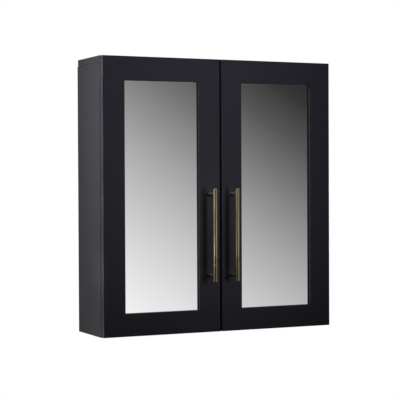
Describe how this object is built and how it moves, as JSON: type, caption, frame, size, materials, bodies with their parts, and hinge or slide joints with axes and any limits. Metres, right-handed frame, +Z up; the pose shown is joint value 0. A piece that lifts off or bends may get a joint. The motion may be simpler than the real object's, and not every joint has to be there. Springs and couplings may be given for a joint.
{
  "type": "medicine cabinet with mirror",
  "caption": "Wall-hung bathroom medicine cabinet with mirrored double doors, adjustable shelves, T-bar handles and concealed hinges.",
  "frame": {"origin": "centre of the cabinet's back face, on the wall", "axes": "+Z up, +Y into the wall, +X to the right as seen from the front"},
  "size_m": [0.6, 0.2, 0.65],
  "materials": {
    "charcoal_laminate": "matt charcoal foil on fibreboard",
    "mirror_glass": "silvered float glass",
    "backing_board": "thin dark hardboard",
    "aged_brass": "brushed, aged brass",
    "nickel_steel": "nickel-plated pressed steel",
    "clear_rubber": "soft clear bumper"
  },
  "bodies": {
    "root": {"back_board": "charcoal_laminate", "bottom_panel": "charcoal_laminate", "hanging_rail": "charcoal_laminate", "left_lower_front_shelf_pin": "nickel_steel", "left_lower_hinge_arm": "nickel_steel", "left_lower_hinge_plate": "nickel_steel", "left_lower_rear_shelf_pin": "nickel_steel", "left_side_panel": "charcoal_laminate", "left_upper_front_shelf_pin": "nickel_steel", "left_upper_hinge_arm": "nickel_steel", "left_upper_hinge_plate": "nickel_steel", "left_upper_rear_shelf_pin": "nickel_steel", "left_wall_hanger": "nickel_steel", "lower_shelf": "charcoal_laminate", "right_lower_front_shelf_pin": "nickel_steel", "right_lower_hinge_arm": "nickel_steel", "right_lower_hinge_plate": "nickel_steel", "right_lower_rear_shelf_pin": "nickel_steel", "right_side_panel": "charcoal_laminate", "right_upper_front_shelf_pin": "nickel_steel", "right_upper_hinge_arm": "nickel_steel", "right_upper_hinge_plate": "nickel_steel", "right_upper_rear_shelf_pin": "nickel_steel", "right_wall_hanger": "nickel_steel", "top_panel": "charcoal_laminate", "upper_shelf": "charcoal_laminate"},
    "left_door": {"left_door_frame": "charcoal_laminate", "left_handle_bar": "aged_brass", "left_handle_lower_post": "aged_brass", "left_handle_lower_screw": "nickel_steel", "left_handle_upper_post": "aged_brass", "left_handle_upper_screw": "nickel_steel", "left_lower_door_bumper": "clear_rubber", "left_lower_hinge_cup": "nickel_steel", "left_mirror": "mirror_glass", "left_mirror_backing": "backing_board", "left_upper_door_bumper": "clear_rubber", "left_upper_hinge_cup": "nickel_steel"},
    "left_inner_links": {"left_lower_hinge_inner_link": "nickel_steel", "left_upper_hinge_inner_link": "nickel_steel"},
    "left_outer_links": {"left_lower_hinge_outer_link": "nickel_steel", "left_upper_hinge_outer_link": "nickel_steel"},
    "right_door": {"right_door_frame": "charcoal_laminate", "right_handle_bar": "aged_brass", "right_handle_lower_post": "aged_brass", "right_handle_lower_screw": "nickel_steel", "right_handle_upper_post": "aged_brass", "right_handle_upper_screw": "nickel_steel", "right_lower_door_bumper": "clear_rubber", "right_lower_hinge_cup": "nickel_steel", "right_mirror": "mirror_glass", "right_mirror_backing": "backing_board", "right_upper_door_bumper": "clear_rubber", "right_upper_hinge_cup": "nickel_steel"},
    "right_inner_links": {"right_lower_hinge_inner_link": "nickel_steel", "right_upper_hinge_inner_link": "nickel_steel"},
    "right_outer_links": {"right_lower_hinge_outer_link": "nickel_steel", "right_upper_hinge_outer_link": "nickel_steel"}
  },
  "joints": [
    {"name": "left_outer_link_turn", "type": "hinge", "parent": "root", "child": "left_outer_links", "pos_m": [-0.258, -0.1382, 0], "axis": [0, 0, 1], "range_deg": [0, 31]},
    {"name": "left_door_swing", "type": "hinge", "parent": "left_outer_links", "child": "left_door", "pos_m": [-0.2872, -0.152, 0], "axis": [0, 0, -1], "range_deg": [0, 125]},
    {"name": "left_inner_link_turn", "type": "hinge", "parent": "left_door", "child": "left_inner_links", "pos_m": [-0.2853, -0.1566, 0], "axis": [0, 0, 1], "range_deg": [0, 131]},
    {"name": "right_outer_link_turn", "type": "hinge", "parent": "root", "child": "right_outer_links", "pos_m": [0.258, -0.1382, 0], "axis": [0, 0, -1], "range_deg": [0, 31]},
    {"name": "right_door_swing", "type": "hinge", "parent": "right_outer_links", "child": "right_door", "pos_m": [0.2872, -0.152, 0], "axis": [0, 0, 1], "range_deg": [0, 125]},
    {"name": "right_inner_link_turn", "type": "hinge", "parent": "right_door", "child": "right_inner_links", "pos_m": [0.2853, -0.1566, 0], "axis": [0, 0, -1], "range_deg": [0, 131]}
  ],
  "couplings": [
    {"joint": "left_outer_link_turn", "follows": "left_door_swing", "ratio": 0.24012},
    {"joint": "left_inner_link_turn", "follows": "left_door_swing", "ratio": 1.0411},
    {"joint": "right_outer_link_turn", "follows": "right_door_swing", "ratio": 0.24012},
    {"joint": "right_inner_link_turn", "follows": "right_door_swing", "ratio": 1.0411}
  ]
}
